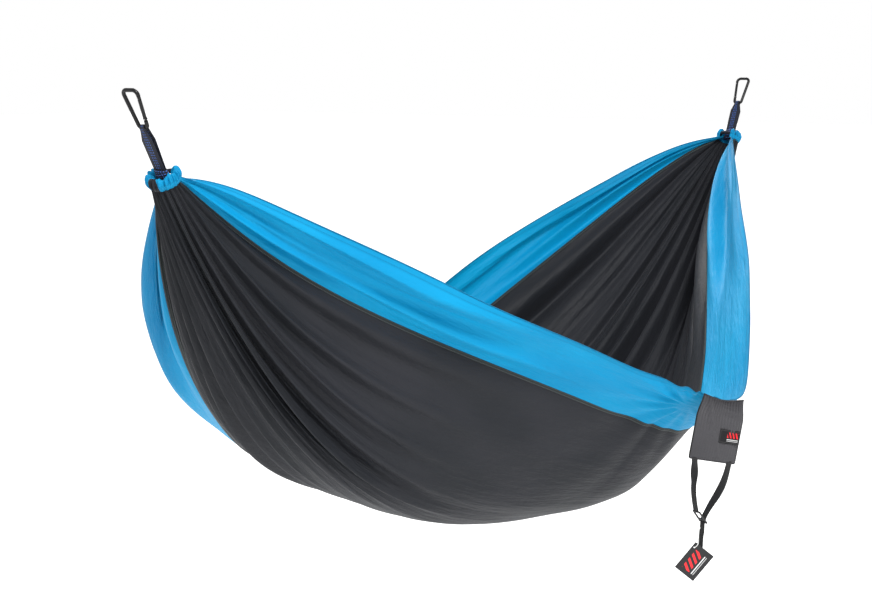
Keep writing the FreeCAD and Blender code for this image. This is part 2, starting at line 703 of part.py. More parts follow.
def make_tag():
    swing = Base.Rotation(Vec(0, 0, 1), TAG_HEADING)
    lean = Base.Rotation(Vec(0, 1, 0), TAG_LEAN)
    place = HANG.multiply(Base.Placement(TAG_HOLE, swing.multiply(lean)))
    across, down = TAG_HOLE_IN
    depth = 2 * size("tag_leaf") + size("tag_spread")
    card = box("tag_outer", Vec(-across, -depth / 2, down - size("tag_height")), "{tag_width}",
               "2 * {tag_leaf} + {tag_spread}", "{tag_height}")
    between = box("tag_between", Vec(size("tag_leaf") - across, -size("tag_spread") / 2,
                                     down - size("tag_height") - 1),
                  "{tag_width}", "{tag_spread}", "{tag_height} + 2")
    eyelet = cylinder("tag_eyelet", Vec(0, -4, 0), Vec(0, 1, 0), "%g" % TAG_EYELET, "8")
    keep(cut("tag_cut", card, fuse("tag_cuts", [between, eyelet])), "hang_tag", place)

    radii = run_radii(FASTENER_ROUTE)
    path = rounded_wire(FASTENER_ROUTE, radii)
    start = FASTENER_ROUTE[0]
    along = FASTENER_ROUTE[1] - start
    section = Part.Wire(Part.Circle(start, along, size("tag_line") / 2).toShape())
    line = path.makePipeShell([section], True, False)
    report_run("tag_fastener", path, radii, line, math.pi * size("tag_line") ** 2 / 4)
    bead = Part.makeSphere(size("tag_bead") / 2, FASTENER_ROUTE[1])
    ring_place = Base.Placement(TAG_HOLE, swing.multiply(lean))
    centre = ring_place.multVec(Vec(0, 0, TAG_RING))
    ring = Part.makeTorus(TAG_RING, size("tag_line") / 2, centre, ring_place.Rotation.multVec(Vec(1, 0, 0)))
    keep(made_shape("fastener_solid", line.fuse([bead, ring])), "tag_fastener", HANG)


make_strap("strap_left", LEFT_STRAP_ROUTE, 60)
make_strap("strap_right", RIGHT_STRAP_ROUTE, 105)
make_slider()
make_tag()

# ---------------------------------------------------------------- check and export
doc.recompute()
os.makedirs("parts", exist_ok=True)
for obj in doc.Objects:
    if "Invalid" in obj.State:
        raise RuntimeError("%s did not compute: %s" % (obj.Label, obj.State))
for obj in parts_made:
    shape = obj.Shape
    if shape.isNull() or not shape.isValid() or len(shape.Solids) != 1:
        raise RuntimeError("%s is not one valid solid" % obj.Label)
    shape.exportStep("parts/%s.step" % obj.Label)
    span = shape.BoundBox
    print("%-24s %9.0f mm3  x %8.1f %8.1f  y %7.1f %7.1f  z %8.1f %8.1f" % (
        obj.Label, shape.Volume, span.XMin, span.XMax, span.YMin, span.YMax, span.ZMin, span.ZMax))
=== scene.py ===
import math

import bpy
import numpy as np
from mathutils import Matrix, Vector


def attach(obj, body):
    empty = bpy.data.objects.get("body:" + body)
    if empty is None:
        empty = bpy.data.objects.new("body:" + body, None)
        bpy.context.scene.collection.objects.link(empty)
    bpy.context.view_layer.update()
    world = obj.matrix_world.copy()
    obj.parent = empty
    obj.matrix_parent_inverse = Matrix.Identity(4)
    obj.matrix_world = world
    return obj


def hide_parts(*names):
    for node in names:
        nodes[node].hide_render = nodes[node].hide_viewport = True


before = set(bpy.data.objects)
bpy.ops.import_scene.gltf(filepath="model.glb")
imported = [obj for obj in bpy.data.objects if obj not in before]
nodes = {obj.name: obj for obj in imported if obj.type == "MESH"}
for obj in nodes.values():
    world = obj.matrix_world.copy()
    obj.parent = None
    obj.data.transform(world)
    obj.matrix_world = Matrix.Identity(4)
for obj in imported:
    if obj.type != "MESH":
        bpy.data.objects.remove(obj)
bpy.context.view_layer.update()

MM = 0.001

# ------------------------------------------------------------------ the hang, as in the part
SLING_ANGLE = 63
SLING = math.radians(SLING_ANGLE)
REACH = 0.165
HALF_SPAN = 1.05
GATHER = 0.024
TUBE = 0.008
RING_X = REACH * math.cos(SLING)
RING_Z = -REACH * math.sin(SLING)
MID_X = RING_X + HALF_SPAN
SEAM_AT = 0.76
RIM_TURN, SEAM_TURN = 150, 114
CLOTH_START = TUBE + 0.0035
NEAR_ROUNDING, FAR_ROUNDING = 0.07, 0.08
BELLY_POWER = 2.72
HANG_X, HANG_Y, HANG_Z = -0.060, -0.567, -0.469
HANG_TURN, SACK_TILT = -20, 13
LEFT, RIGHT = -1, 1


def turn_about(axis, degrees):
    return Matrix.Rotation(math.radians(degrees), 4, axis)


def sling_frame(side):
    """Local +Z along the sling from the gather's centre, local Y across it."""
    spin = turn_about("Z", 0 if side == LEFT else 180)
    lean = turn_about("Y", side * (90 - SLING_ANGLE))
    return Matrix.Translation((MID_X + side * HALF_SPAN, 0, RING_Z)) @ lean @ spin


# HANG is where the sack is sewn on, SACK the same place tilted with the pouch
HANG = Matrix.Translation((MID_X + HANG_X, HANG_Y, RING_Z + HANG_Z)) @ turn_about("Z", HANG_TURN)
SACK = HANG @ turn_about("Y", SACK_TILT)

# ------------------------------------------------------------------ camera
camera_data = bpy.data.cameras.new("camera")
camera_data.lens = 74.3
camera_data.sensor_width = 36
camera_data.clip_start = 0.05
camera_data.clip_end = 60
camera = bpy.data.objects.new("camera", camera_data)
camera.location = (-2.134, -2.197, 0.053)
camera.rotation_euler = (math.radians(82.4), 0, math.radians(-53.76))
bpy.context.scene.collection.objects.link(camera)
bpy.context.scene.camera = camera


# ------------------------------------------------------------------ meshes
def grid_mesh(name, points, uv, wrap_columns=False):
    """A mesh over a rows x columns grid of points, with one UV layer; its name gets no spaces."""
    name = name.replace(" ", "_")
    rows, columns = points.shape[:2]
    index = np.arange(rows * columns).reshape(rows, columns)
    if wrap_columns:
        index = np.hstack([index, index[:, :1]])
        uv = np.concatenate([uv, uv[:, :1]], axis=1)
    a, b = index[:-1, :-1], index[1:, :-1]
    c, d = index[1:, 1:], index[:-1, 1:]
    faces = np.stack([a, b, c, d], axis=-1).reshape(-1, 4)
    mesh = bpy.data.meshes.new(name)
    mesh.from_pydata(points.reshape(-1, 3).tolist(), [], faces.tolist())
    corners = np.stack([uv[:-1, :-1], uv[1:, :-1], uv[1:, 1:], uv[:-1, 1:]], axis=2)
    layer = mesh.uv_layers.new(name="cloth")
    layer.data.foreach_set("uv", corners.reshape(-1).astype(np.float32))
    mesh.shade_smooth()
    obj = bpy.data.objects.new(name, mesh)
    bpy.context.scene.collection.objects.link(obj)
    return obj


def placed(matrix, points):
    m = np.array(matrix)
    return points @ m[:3, :3].T + m[:3, 3]


def direction(matrix, vector):
    return np.array(matrix.to_3x3() @ Vector(vector))


def tangents(path):
    along = np.gradient(path, axis=0)
    return along / np.linalg.norm(along, axis=1, keepdims=True)


def lengths_along(path):
    """Length along a line of points, from 0 at its first."""
    return np.concatenate([[0], np.cumsum(np.linalg.norm(np.diff(path, axis=0), axis=1))])


def smoothstep(low, high, value):
    t = np.clip((value - low) / (high - low), 0, 1)
    return t * t * (3 - 2 * t)


def waves(x, y, count, scale, seed):
    """Smooth deterministic noise from a sum of plane waves, about -1 to 1."""
    rng = np.random.default_rng(seed)
    total = np.zeros(np.broadcast(x, y).shape)
    for i in range(count):
        angle = rng.uniform(0, 2 * math.pi)
        pitch = scale * rng.uniform(0.6, 1.8)
        phase = rng.uniform(0, 2 * math.pi)
        total = total + np.sin(pitch * (x * math.cos(angle) + y * math.sin(angle)) + phase)
    return total / math.sqrt(count) / 1.2


def normals_of(points):
    along = np.gradient(points, axis=0)
    across = np.gradient(points, axis=1)
    normal = np.cross(along, across)
    return normal / np.maximum(np.linalg.norm(normal, axis=-1, keepdims=True), 1e-12)


# ------------------------------------------------------------------ cloth surface, as in the part
def vee(along, rounding):
    return (np.hypot(along, rounding) - rounding) / (math.hypot(1, rounding) - rounding)


def bulge(a):
    return 4 * a * (1 - a) * smoothstep(0, 0.25, a)


# metres, at the middle of the cloth, out and down from the gathers' level
NEAR_RIM_OUT, NEAR_RIM_DROP = 0.561, 0.477
NEAR_STRIP_IN, NEAR_STRIP_DROP = 0.110, 0.084
FAR_RIM_OUT, FAR_RIM_DROP, FAR_MID_OUT = 0.583, 0.634, 0.037
FAR_STRIP_IN, FAR_STRIP_DROP, FAR_STRIP_BOW = 0.028, 0.135, 0.037
FAR_SPREAD_ROUNDING = 0.14
BELLY_SHIFT, BELLY_DROP = 0.036, 0.782
NEAR_POWER, MID_POWER = 2.5, 2.8
NEAR_LIFT, FAR_LIFT = 0.017, 0.022

# The two halves fall a little differently; the pairs are for the left and the right half.
FALL = {"near_swell_out": (0.020, 0.020), "near_swell_down": (0.008, -0.044),
        "near_strip_in": (6.2, 5.3), "near_strip_down": (7.6, 6.7), "far_flare": (2.3, 2.44),
        "far_fall": (1.85, 1.05), "far_strip_in": (1.6, 3.05), "far_strip_down": (0.63, 3.4),
        "far_tuck": (0.053, 0), "far_power": (1.88, 3.82)}


def half_value(name, u):
    return np.where(u < 0, *FALL[name])


def near_lines(a, u):
    """The near rim and seam, out and down from the gathers' level."""
    fall = vee(a, NEAR_ROUNDING)
    rim_y = -NEAR_RIM_OUT * (1 - fall) - half_value("near_swell_out", u) * bulge(a)
    rim_z = -NEAR_RIM_DROP * (1 - fall) - half_value("near_swell_down", u) * bulge(a)
    seam_y = rim_y + NEAR_STRIP_IN * (1 - a ** half_value("near_strip_in", u))
    seam_z = rim_z - NEAR_STRIP_DROP * (1 - a ** half_value("near_strip_down", u))
    return rim_y, rim_z, seam_y, seam_z


def far_lines(a, u):
    """The far rim and seam."""
    fall = vee(a, FAR_ROUNDING) ** half_value("far_fall", u)
    middle = np.clip(1 - (a / 0.5) ** 2, 0, 1) ** 2
    rim_y = FAR_RIM_OUT * (1 - a ** half_value("far_flare", u)) + FAR_MID_OUT * middle
    rim_z = -FAR_RIM_DROP * (1 - fall)
    spread = vee(a, FAR_SPREAD_ROUNDING)
    tuck = half_value("far_tuck", u) * bulge(a)
    seam_y = rim_y - FAR_STRIP_IN * (1 - spread ** half_value("far_strip_in", u)) - tuck
    seam_z = rim_z - FAR_STRIP_DROP * (1 - spread ** half_value("far_strip_down", u))
    return rim_y, rim_z, seam_y, seam_z


def cloth_points(u, v):
    """Points of the hung cloth: u from -1 at the left gather to 1, v from -1 at the near rim to 1."""
    a = np.abs(u)
    side = np.where(u < 0, -1.0, 1.0)
    share = np.abs(v)
    near = v < 0
    lines = zip(near_lines(a, u), far_lines(a, u))
    rim_y, rim_z, seam_y, seam_z = [np.where(near, n, f) for n, f in lines]
    rise = 1 - a ** BELLY_POWER
    belly_y, belly_z = -BELLY_SHIFT * rise, -BELLY_DROP * rise
    strip = np.clip((share - SEAM_AT) / (1 - SEAM_AT), 0, 1)
    panel = np.clip(share / SEAM_AT, 0, 1)
    far_power = MID_POWER + (half_value("far_power", u) - MID_POWER) * smoothstep(0, 0.45, a)
    power = np.where(near, NEAR_POWER, far_power)
    lift = np.where(near, NEAR_LIFT, FAR_LIFT) * np.sin(math.pi * a ** 6) * panel ** 2
    bow = np.where(near, 0, FAR_STRIP_BOW * np.sin(math.pi * strip) * np.minimum(1, 1.3 * bulge(a)))
    y = belly_y + (seam_y - belly_y) * panel + (rim_y - seam_y) * strip + bow
    z = belly_z + (seam_z - belly_z) * panel ** power + (rim_z - seam_z) * strip + lift
    turn = np.radians(SEAM_TURN * panel + (RIM_TURN - SEAM_TURN) * strip) * np.where(near, -1, 1)
    rim_hold = np.where(near, vee(a, NEAR_ROUNDING), vee(a, FAR_ROUNDING))
    hold = a ** BELLY_POWER * (1 - panel ** 2) + rim_hold * panel ** 2
    start = CLOTH_START * a ** 14
    ring_rise = -hold * GATHER * np.cos(turn)
    x = HALF_SPAN * u - side * (ring_rise * math.sin(SLING) + start * math.cos(SLING))
    z = z + ring_rise * math.cos(SLING) - start * math.sin(SLING)
    return np.stack([MID_X + x, y + hold * GATHER * np.sin(turn), RING_Z + z], axis=-1)


PLEATS = 17
ROWS = 560
SIDE_FOLD, FINE_FOLD = 0.234, 0.14              # of one pleat's width
SLACK_WRINKLE, SMALL_WRINKLE = 3.6 * MM, 1.2 * MM
RIM_SCALLOP, SACK_PULL = 3.5 * MM, 6 * MM


def pleat_phase(u, v):
    """Fold phase: pleats keep their place across the cloth and wander a little along it."""
    return 2 * math.pi * (PLEATS * 0.5 * v + 0.32 * waves(v * 7, u * 0, 5, 1.0, 3)
                          + 0.16 * waves(u * 3.2, v * 5, 6, 1.0, 4))


def pleat_shape(phase):
    """Rounded ridges with narrower valleys."""
    return 0.8 * np.sin(phase) + 0.22 * np.sin(2 * phase + 0.8) + 0.08 * np.sin(3 * phase + 2.1)


def cloth_folds(u, v, wavelength):
    """How far the cloth stands off its smooth surface, in metres."""
    a = np.abs(u)
    side = np.sign(u)
    strip = np.clip((np.abs(v) - SEAM_AT) / (1 - SEAM_AT), 0, 1)
    # pleats from the gathers, each fading out at its own length
    start = 0.34 + 0.16 * waves(v * 14, side * 3, 5, 1.0, 8)
    depth = 0.008 + 0.42 * smoothstep(0.0, 0.46, a - start) + 0.02 * smoothstep(0.72, 1.0, a)
    vary = 0.85 + 0.45 * waves(v * 19, side * 2, 5, 1.0, 6)
    calm = 1 - 0.55 * smoothstep(0.0, 0.2, strip) * smoothstep(0.9, 0.5, a)
    strength = np.clip(vary, 0.35, 1.25) * calm
    folds = wavelength * depth * strength * smoothstep(0.03, 0.35, a) * pleat_shape(pleat_phase(u, v))
    fine_phase = 2 * math.pi * (PLEATS * 1.15 * v + 0.5 * waves(u * 4, v * 9, 6, 1.0, 12))
    fine = FINE_FOLD * wavelength * depth * np.sin(fine_phase) * smoothstep(0.5, 0.9, a)
    # a few deep folds along the side strips near the gathers
    big_phase = 2 * math.pi * (1.45 * strip + 0.28 * waves(u * 4, v * 2, 5, 1.0, 15) + 0.2 * side)
    big = SIDE_FOLD * wavelength * np.sin(big_phase) * smoothstep(0.0, 0.25, strip)
    big = big * smoothstep(0.30, 0.62, a) * smoothstep(1.0, 0.8, a)
    # long lazy wrinkles of slack nylon
    lazy = SLACK_WRINKLE * waves(u * 4.5, v * 11, 9, 1.0, 21)
    lazy = (lazy + SMALL_WRINKLE * waves(u * 11, v * 26, 12, 1.0, 22)) * smoothstep(1.0, 0.6, a)
    # slack rims scallop a little
    edge = smoothstep(0.7, 1.0, np.abs(v))
    scallop = RIM_SCALLOP * waves(u * 14, v * 0 + np.sign(v), 5, 1.0, 31) * edge * smoothstep(1.0, 0.8, a)
    # folds that run to where the sack is sewn on
    s, t = (u + 0.093) * 1.38, (v + 0.93) * 0.71
    reach = np.hypot(s, t)
    angle = np.arctan2(t, -s)
    fan = np.sin(13 * angle + 1.2 * np.sin(3 * angle) + 8 * reach) * np.exp(-reach / 0.18)
    fan = SACK_PULL * fan * smoothstep(0.012, 0.07, reach) * np.where(s < 0, 1.0, 0.45)
    return folds + fine + big + lazy + scallop + fan


def row_values(count):
    """Rows along the cloth, closer together near the gathers."""
    w = np.linspace(-1, 1, count)
    return np.sign(w) * (1 - (1 - np.abs(w)) ** 1.45)


ALL_V = np.concatenate([np.linspace(-1, -SEAM_AT, 49)[:-1], np.linspace(-SEAM_AT, SEAM_AT, 281),
                        np.linspace(SEAM_AT, 1, 49)[1:]])
U, V = np.meshgrid(row_values(ROWS), ALL_V, indexing="ij")
BASE = cloth_points(U, V)
NORMAL = normals_of(BASE)
span = np.linalg.norm(np.diff(BASE, axis=1), axis=-1).sum(axis=1, keepdims=True)
FOLDS = cloth_folds(U, V, span / PLEATS)
CLOTH = BASE + NORMAL * FOLDS[..., None]
CLOTH_NORMAL = normals_of(CLOTH)
FLAT_LENGTH, FLAT_WIDTH = 2.77, 1.42
UV = np.stack([U * FLAT_LENGTH / 2, V * FLAT_WIDTH / 2], axis=-1)


def columns_between(low, high):
    return np.where((ALL_V >= low - 1e-9) & (ALL_V <= high + 1e-9))[0]


def panel(name, low, high):
    pick = columns_between(low, high)
    return grid_mesh(name, CLOTH[:, pick], UV[:, pick])


def band_along(name, at, half_width, lift):
    """A flat strip of cloth laid along a line of constant v, standing off by lift."""
    pick = int(np.argmin(np.abs(ALL_V - at)))
    centre = CLOTH[:, pick]
    normal = CLOTH_NORMAL[:, pick]
    across = np.cross(tangents(centre), normal)
    offsets = np.array([-1.0, -0.86, -0.4, 0.0, 0.4, 0.86, 1.0]) * half_width
    heights = np.array([0.0, 1.0, 1.0, 0.85, 1.0, 1.0, 0.0]) * lift
    points = (centre[:, None] + across[:, None] * offsets[None, :, None]
              + normal[:, None] * heights[None, :, None])
    uv = np.stack(np.broadcast_arrays(U[:, :1] * FLAT_LENGTH / 2, offsets[None, :]), axis=-1)
    return grid_mesh(name, points, uv)


def tube_along(name, centre, radius, sides=8, across=None):
    """A round tube along a line of points; across is a direction the line never runs along."""
    along = tangents(centre)
    guide = np.array([0.0, 0.0, 1.0]) if across is None else across
    side = np.cross(along, np.broadcast_to(guide, along.shape))
    side /= np.maximum(np.linalg.norm(side, axis=1, keepdims=True), 1e-9)
    up = np.cross(side, along)
    ring = np.linspace(0, 2 * math.pi, sides, endpoint=False)
    radius = np.broadcast_to(np.asarray(radius, float), (len(centre),))[:, None, None]
    points = (centre[:, None] + radius * (side[:, None] * np.cos(ring)[None, :, None]
              + up[:, None] * np.sin(ring)[None, :, None]))
    uv = np.stack(np.broadcast_arrays(lengths_along(centre)[:, None], ring[None, :] / (2 * math.pi)), axis=-1)
    return grid_mesh(name, points, uv, wrap_columns=True)


# ------------------------------------------------------------------ cords: the strap and the tag's line
def spline_points(points):
    """Points of the smooth NURBS line that has the route's points as its control points."""
    data = bpy.data.curves.new("route", "CURVE")
    data.dimensions = "3D"
    spline = data.splines.new("NURBS")
    spline.points.add(len(points) - 1)
    for control, place in zip(spline.points, points):
        control.co = (*place, 1)
    spline.order_u = 3
    spline.use_endpoint_u = True
    spline.resolution_u = 24
    route = bpy.data.objects.new("route", data)
    line = bpy.data.meshes.new_from_object(route)
    path = np.array([tuple(v.co) for v in line.vertices])
    bpy.data.objects.remove(route)
    bpy.data.curves.remove(data)
    bpy.data.meshes.remove(line)
    return path


STRAP_WIDTH, STRAP_THICK = 0.015, 0.0014
LEFT_TWIST, RIGHT_TWIST = 0.05, 0.12
LINE_RADIUS = 0.6 * MM
# routes in millimetres from where the sack is sewn on: across and up, or across, back and up
LEFT_STRAP = [(-75.2, -119.3), (-75, -151.5), (-78, -188.5), (-69, -223.4)]
RIGHT_STRAP = [(16.4, -138.6), (9, -165), (-9, -194), (-33, -219), (-52.5, -245), (-52, -263),
               (-55.5, -281), (-56, -299)]
FASTENER = [(-57.5, 0, -246), (-60, -0.8, -259.5), (-64.3, -3.6, -273.5), (-66.8, -6.2, -287.4)]


def in_hang(points):
    return [HANG @ Vector((p[0] * MM, (p[1] if len(p) == 3 else 0) * MM, p[-1] * MM)) for p in points]


def webbing_ribbon(name, path, width, thick, turns, guide):
    """Flat webbing along a path; turns is its twist at each point, 0 with its width along the guide."""
    along = tangents(path)
    broad = np.broadcast_to(np.asarray(guide, float), along.shape)
    broad = broad - along * (broad * along).sum(axis=1, keepdims=True)
    broad /= np.linalg.norm(broad, axis=1, keepdims=True)
    flat = np.cross(broad, along)
    c, s = np.cos(turns)[:, None], np.sin(turns)[:, None]
    broad, flat = broad * c + flat * s, flat * c - broad * s
    width = np.broadcast_to(np.asarray(width, float), (len(path),))[:, None]
    outline = [(-1, -.5), (-.97, -.85), (-.5, -1), (0, -1), (.5, -1), (.97, -.85), (1, -.5),
               (1, .5), (.97, .85), (.5, 1), (0, 1), (-.5, 1), (-.97, .85), (-1, .5)]
    points = np.stack([path + broad * width / 2 * x + flat * thick / 2 * y for x, y in outline], axis=1)
    offset = np.array([x for x, y in outline])[None, :] * float(width.max()) / 2
    uv = np.stack(np.broadcast_arrays(lengths_along(path)[:, None], offset), axis=-1)
    return grid_mesh(name, points, uv, wrap_columns=True)


def strap_turns(path, twist_length):
    """The webbing leaves the hem flat against the sack and turns edge on over twist_length."""
    return math.pi / 2 * (1 - smoothstep(0, twist_length, lengths_along(path)))


hang_normal = direction(HANG, (0, 1, 0))
left_path = spline_points(in_hang(LEFT_STRAP))
right_path = spline_points(in_hang(RIGHT_STRAP))
strap_left = webbing_ribbon("strap webbing left", left_path, STRAP_WIDTH, STRAP_THICK,
                            strap_turns(left_path, LEFT_TWIST), hang_normal)
strap_right = webbing_ribbon("strap webbing right", right_path, STRAP_WIDTH, STRAP_THICK,
                             strap_turns(right_path, RIGHT_TWIST), hang_normal)
line_path = spline_points(in_hang(FASTENER))
tag_line = tube_along("tag line", line_path, LINE_RADIUS, across=hang_normal)


# ------------------------------------------------------------------ materials
class Look:
    """A node material with short ways to add and join nodes."""

    def __init__(self, name):
        self.material = bpy.data.materials.new(name)
        self.material.use_nodes = True
        self.tree = self.material.node_tree
        self.tree.nodes.clear()
        self.output = self.tree.nodes.new("ShaderNodeOutputMaterial")

    def add(self, kind, inputs=None, **settings):
        node = self.tree.nodes.new("ShaderNode" + kind)
        for key, value in settings.items():
            setattr(node, key, value)
        for key, value in (inputs or {}).items():
            if isinstance(value, bpy.types.NodeSocket):
                self.tree.links.new(value, node.inputs[key])
            else:
                node.inputs[key].default_value = value
        return node

    def maths(self, operation, a, b=0.0):
        return self.add("Math", {0: a, 1: b}, operation=operation).outputs[0]

    def times(self, a, b):
        return self.maths("MULTIPLY", a, b)

    def plus(self, a, b):
        return self.maths("ADD", a, b)

    def wave(self, value, pitch):
        """A sine along a length, one turn per pitch."""
        return self.maths("SINE", self.times(value, 2 * math.pi / pitch))

    def ramp(self, value, low, high):
        node = self.add("MapRange", {"Value": value, "From Min": low, "From Max": high})
        node.interpolation_type = "SMOOTHSTEP"
        return node.outputs["Result"]

    def blend(self, share, a, b):
        node = self.add("Mix", data_type="RGBA")
        for key, value in ((0, share), (6, a), (7, b)):
            if isinstance(value, bpy.types.NodeSocket):
                self.tree.links.new(value, node.inputs[key])
            else:
                node.inputs[key].default_value = value if key == 0 else (*value, 1)
        return node.outputs[2]

    def bump(self, height, distance, strength, normal=None):
        inputs = {"Height": height, "Distance": distance, "Strength": strength}
        if normal is not None:
            inputs["Normal"] = normal
        return self.add("Bump", inputs).outputs[0]

    def noise(self, vector, scale, detail, roughness=0.5):
        return self.add("TexNoise", {"Vector": vector, "Scale": scale, "Detail": detail,
                                     "Roughness": roughness}).outputs["Fac"]

    def finish(self, shader):
        self.tree.links.new(shader, self.output.inputs["Surface"])
        return self.material


def scaled(look, vector, x, y):
    return look.add("Mapping", {"Vector": vector, "Scale": (x, y, 1.0)}).outputs[0]


def band_mask(look, value, centre, half, soft):
    """1 within half of centre, fading over soft."""
    away = look.maths("ABSOLUTE", look.maths("SUBTRACT", value, centre))
    return look.ramp(away, half + soft, half)


NYLON_PITCH = 0.0011
STITCH_PITCH = 0.0035


def nylon(name, deep, light, glow, hem_at=None):
    """Thin plain-woven nylon: fine weave, crinkles along the pull, a soft sheen and some light through."""
    look = Look(name)
    uv = look.add("UVMap", uv_map="cloth").outputs[0]
    split = look.add("SeparateXYZ", {0: uv})
    crinkle = look.noise(scaled(look, uv, 5, 26), 1.0, 5.0, 0.62)
    crease = look.noise(scaled(look, uv, 16, 60), 1.0, 4.0, 0.6)
    patches = look.noise(scaled(look, uv, 3, 7), 1.0, 2.0)
    weave = look.times(look.wave(split.outputs[0], NYLON_PITCH), look.wave(split.outputs[1], NYLON_PITCH))
    normal = look.bump(weave, 0.00008, 0.35)
    normal = look.bump(crinkle, 0.012, 0.6, normal)
    normal = look.bump(crease, 0.004, 0.45, normal)
    colour = look.blend(look.ramp(patches, 0.3, 0.7), deep, light)
    if hem_at is not None:
        # the hem is folded in over 13 mm and stitched 10.5 mm from its edge
        away = look.maths("SUBTRACT", hem_at, look.maths("ABSOLUTE", split.outputs[1]))
        inside = look.ramp(away, 0.0135, 0.0125)
        stitch_row = band_mask(look, away, 0.0105, 0.0004, 0.0004)
        dashes = look.ramp(look.wave(split.outputs[0], STITCH_PITCH), -0.5, -0.2)
        stitches = look.times(stitch_row, dashes)
        raised = look.plus(inside, look.times(stitches, 0.6))
        normal = look.bump(raised, 0.0006, 0.6, normal)
        folded_shade = tuple(0.62 * c for c in deep)
        thread_shade = tuple(0.4 * c for c in deep)
        colour = look.blend(look.times(inside, 0.22), colour, folded_shade)
        colour = look.blend(look.times(stitches, 0.7), colour, thread_shade)
    cloth = look.add("BsdfPrincipled", {"Base Color": colour, "Roughness": 0.5, "Normal": normal,
                                        "Specular IOR Level": 0.11, "Sheen Weight": 0.02,
                                        "Sheen Roughness": 0.4})
    through = look.add("BsdfTranslucent", {"Color": (*glow, 1), "Normal": normal})
    mixed = look.add("MixShader", {0: 0.16, 1: cloth.outputs[0], 2: through.outputs[0]})
    return look.finish(mixed.outputs[0])


def felled_seam(name, colour):
    """Folded seam tape with two rows of stitches."""
    look = Look(name)
    uv = look.add("UVMap", uv_map="cloth").outputs[0]
    split = look.add("SeparateXYZ", {0: uv})
    away = look.maths("ABSOLUTE", split.outputs[1])
    row = band_mask(look, away, 0.0024, 0.0003, 0.0003)
    dashes = look.ramp(look.wave(split.outputs[0], STITCH_PITCH), -0.4, 0.0)
    stitches = look.times(row, dashes)
    fuzz = look.noise(scaled(look, uv, 300, 900), 1.0, 3.0)
    tone = look.blend(look.times(fuzz, 0.5), colour, tuple(1.9 * c + 0.004 for c in colour))
    tone = look.blend(look.times(stitches, 0.8), tone, (0.10, 0.11, 0.115))
    pucker = look.noise(scaled(look, uv, 120, 30), 1.0, 2.0)
    normal = look.bump(pucker, 0.0012, 0.5)
    normal = look.bump(stitches, 0.0005, 0.7, normal)
    shader = look.add("BsdfPrincipled", {"Base Color": tone, "Roughness": 0.6, "Normal": normal,
                                         "Specular IOR Level": 0.2})
    return look.finish(shader.outputs[0])


def webbing(name, ground, fleck, width, pitch):
    """Tight herringbone webbing; light flecks run down its middle in rows."""
    look = Look(name)
    uv = look.add("UVMap", uv_map="cloth").outputs[0]
    split = look.add("SeparateXYZ", {0: uv})
    along, across = split.outputs[0], split.outputs[1]
    ribs = look.wave(across, pitch * 0.75)
    slant = look.plus(look.times(along, 2 * math.pi / pitch),
                      look.times(look.maths("ABSOLUTE", across), 2 * math.pi / (pitch * 1.4)))
    twill = look.maths("SINE", slant)
    height = look.plus(look.times(ribs, 0.4), look.times(twill, 0.6))
    normal = look.bump(height, 0.0003, 0.8)
    worn = look.noise(scaled(look, uv, 400, 400), 1.0, 3.0)
    tone = look.blend(look.times(worn, 0.6), ground, tuple(2.4 * c + 0.004 for c in ground))
    if fleck is not None:
        turns = look.times(across, 2 * math.pi / (width * 0.16))
        rows = look.ramp(look.maths("COSINE", turns), 0.5, 0.9)
        middle = look.ramp(look.maths("ABSOLUTE", across), width * 0.30, width * 0.26)
        beads = look.ramp(look.wave(along, pitch * 1.5), -0.2, 0.35)
        tone = look.blend(look.times(look.times(rows, middle), beads), tone, fleck)
    shader = look.add("BsdfPrincipled", {"Base Color": tone, "Roughness": 0.62, "Normal": normal,
                                         "Specular IOR Level": 0.2, "Sheen Weight": 0.06})
    return look.finish(shader.outputs[0])


def worn_solid(name, colour, rough, metal=0.0, shine=0.5):
    """Paint, plastic or steel with a faint grain and uneven gloss."""
    look = Look(name)
    place = look.add("TexCoord").outputs["Object"]
    grain = look.noise(place, 900.0, 4.0)
    smear = look.noise(place, 60.0, 3.0)
    gloss = look.add("MapRange", {"Value": smear, "To Min": rough * 0.75, "To Max": rough * 1.3})
    light = tuple(min(1, 1.7 * c + 0.003) for c in colour)
    tone = look.blend(look.times(smear, 0.35), colour, light)
    normal = look.bump(grain, 0.00003, 0.5)
    shader = look.add("BsdfPrincipled", {"Base Color": tone, "Roughness": gloss.outputs[0],
                                         "Metallic": metal, "Normal": normal,
                                         "Specular IOR Level": shine})
    return look.finish(shader.outputs[0])


BLUE_DEEP, BLUE_LIGHT, BLUE_GLOW = (0.001, 0.175, 0.36), (0.002, 0.22, 0.42), (0.002, 0.40, 0.70)
GREY_DEEP, GREY_LIGHT, GREY_GLOW = (0.013, 0.0145, 0.0175), (0.019, 0.020, 0.024), (0.02, 0.021, 0.025)
blue_cloth = nylon("blue nylon", BLUE_DEEP, BLUE_LIGHT, BLUE_GLOW, hem_at=FLAT_WIDTH / 2)
grey_cloth = nylon("charcoal nylon", GREY_DEEP, GREY_LIGHT, GREY_GLOW)
seam_tape = felled_seam("felled seam", (0.008, 0.012, 0.012))
SLING_WIDTH = 25 * MM
sling_web = webbing("sling webbing", (0.002, 0.003, 0.008), (0.05, 0.14, 0.50), SLING_WIDTH, pitch=0.0034)
strap_web = webbing("strap webbing", (0.003, 0.003, 0.0035), None, STRAP_WIDTH, pitch=0.0014)
black_paint = worn_solid("black carabiner paint", (0.003, 0.003, 0.0035), 0.34, shine=0.22)
black_plastic = worn_solid("black slider plastic", (0.009, 0.009, 0.010), 0.42, shine=0.25)
clear_plastic = worn_solid("tag line plastic", (0.62, 0.62, 0.60), 0.35)
bright_steel = worn_solid("bright steel", (0.5, 0.5, 0.5), 0.3, metal=1.0)


def dress(obj, material):
    obj.data.materials.clear()
    obj.data.materials.append(material)
    return obj


